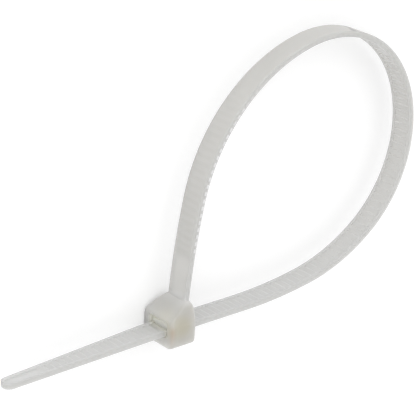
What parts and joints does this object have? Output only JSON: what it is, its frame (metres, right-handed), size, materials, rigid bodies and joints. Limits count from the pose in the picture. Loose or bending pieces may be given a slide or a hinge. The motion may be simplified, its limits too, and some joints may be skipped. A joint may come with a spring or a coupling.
{
  "type": "cable tie",
  "caption": "Self-locking nylon cable tie, its toothed strap closed through the ratchet head into a loose drop-shaped loop that holds a bundle, with the tapered tail uncut.",
  "frame": {"origin": "middle of the underside of the part's box, as it lies on its side", "axes": "+Z along the strap's width, upwards; +X along the slot, from the tail's tip to the far end of the loop; +Y from the head towards the neck"},
  "size_m": [0.0904, 0.051, 0.0079],
  "materials": {
    "nylon": "satin, milky translucent, undyed"
  },
  "bodies": {
    "root": {"cable_tie": "nylon"}
  },
  "joints": []
}
